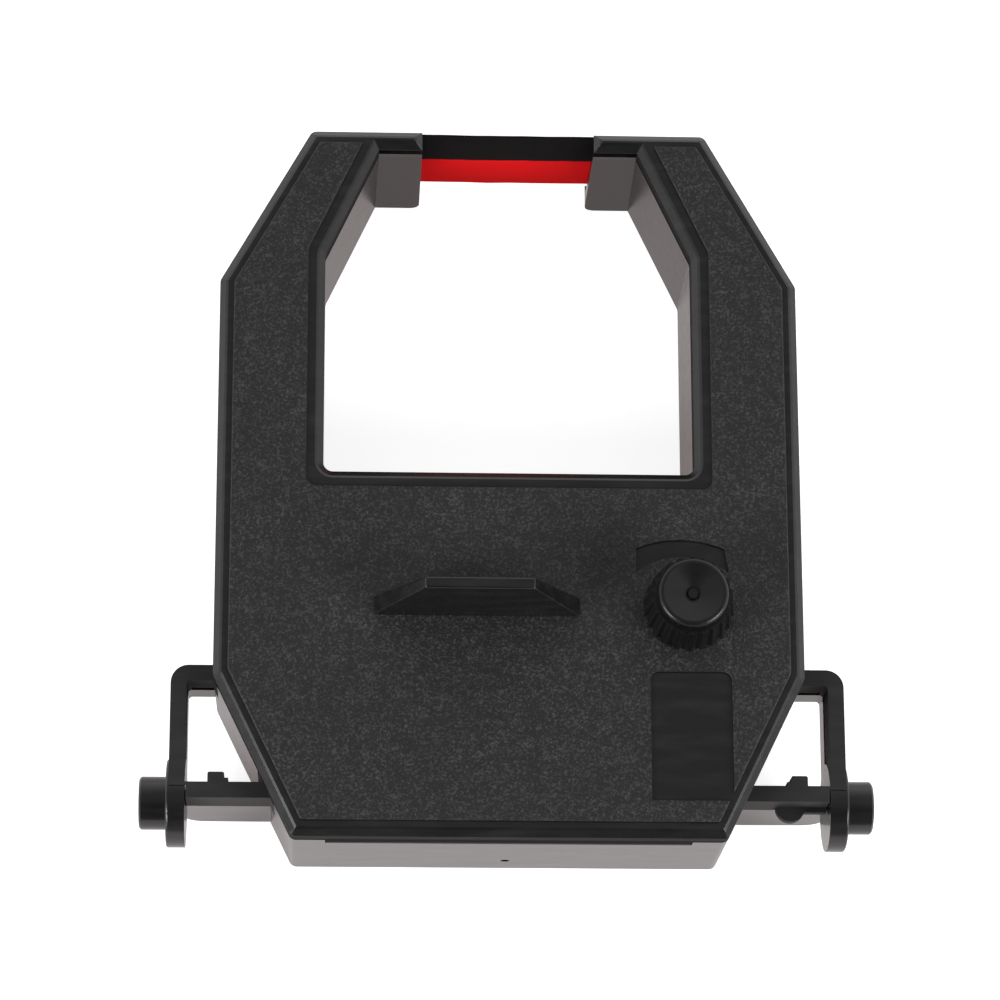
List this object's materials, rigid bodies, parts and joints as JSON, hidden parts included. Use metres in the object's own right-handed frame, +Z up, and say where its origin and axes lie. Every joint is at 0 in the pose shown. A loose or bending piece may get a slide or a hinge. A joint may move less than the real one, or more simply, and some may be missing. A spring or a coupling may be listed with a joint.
{
  "type": "printer ribbon cartridge",
  "caption": "C-shaped printer ribbon cartridge with a two-colour ribbon across its open window, a knurled feed knob, a grip fin and a pivot bracket with a pin on each side.",
  "frame": {"origin": "under the middle of the body, on the surface that the tray rests on", "axes": "+X along the exposed ribbon, +Y from the front wall to the ribbon, +Z up from the tray to the knob"},
  "size_m": [0.0732, 0.0738, 0.0256],
  "materials": {
    "shell_plastic": "black moulded polystyrene, smooth border and walls, spark-grained top panel",
    "knob_plastic": "black moulded plastic, smooth",
    "roller_plastic": "dark moulded acetal",
    "sleeve_plastic": "natural acetal",
    "rubber": "matt black rubber",
    "steel": "ground steel pin",
    "spring_steel": "spring steel strip",
    "felt": "grey wool felt",
    "inked_fabric": "woven nylon, upper half inked black, lower half inked red"
  },
  "bodies": {
    "shell": {"base_tray": "shell_plastic", "top_cover": "shell_plastic", "ink_ribbon": "inked_fabric", "stripper_comb": "roller_plastic", "drag_spring": "spring_steel", "drag_pad": "felt", "pinch_spring": "spring_steel"},
    "feed": {"feed_knob": "knob_plastic", "drive_roller": "roller_plastic"},
    "pressure_fork": {"pinch_lever": "roller_plastic", "idler_axle": "steel"},
    "pressure_roller": {"idler_roller": "roller_plastic", "idler_tyre": "rubber"},
    "entry_sleeve": {"entry_roller": "sleeve_plastic"},
    "left_sleeve": {"left_tip_roller": "sleeve_plastic"},
    "right_sleeve": {"right_tip_roller": "sleeve_plastic"}
  },
  "joints": [
    {"name": "feed_spin", "type": "hinge", "parent": "shell", "child": "feed", "pos_m": [0.01775, -0.01375, 0.008], "axis": [0, 0, 1], "continuous": true},
    {"name": "fork_swing", "type": "hinge", "parent": "shell", "child": "pressure_fork", "pos_m": [0.0244, -0.02285, 0.008], "axis": [0, 0, 1], "range_deg": [0, 1.8], "stiffness_Nm_per_rad": 0.002, "springref_deg": -2.86},
    {"name": "pressure_spin", "type": "hinge", "parent": "pressure_fork", "child": "pressure_roller", "pos_m": [0.01775, -0.02285, 0.008], "axis": [0, 0, 1], "continuous": true},
    {"name": "entry_spin", "type": "hinge", "parent": "shell", "child": "entry_sleeve", "pos_m": [0.02432, -0.01642, 0.008], "axis": [0, 0, 1], "continuous": true},
    {"name": "left_tip_spin", "type": "hinge", "parent": "shell", "child": "left_sleeve", "pos_m": [-0.0178, 0.0336, 0.008], "axis": [0, 0, 1], "continuous": true},
    {"name": "right_tip_spin", "type": "hinge", "parent": "shell", "child": "right_sleeve", "pos_m": [0.0178, 0.0336, 0.008], "axis": [0, 0, 1], "continuous": true}
  ],
  "couplings": [
    {"joint": "pressure_spin", "follows": "feed_spin", "ratio": -1},
    {"joint": "entry_spin", "follows": "feed_spin", "ratio": 2.625},
    {"joint": "left_tip_spin", "follows": "feed_spin", "ratio": 2.625},
    {"joint": "right_tip_spin", "follows": "feed_spin", "ratio": 2.625}
  ]
}
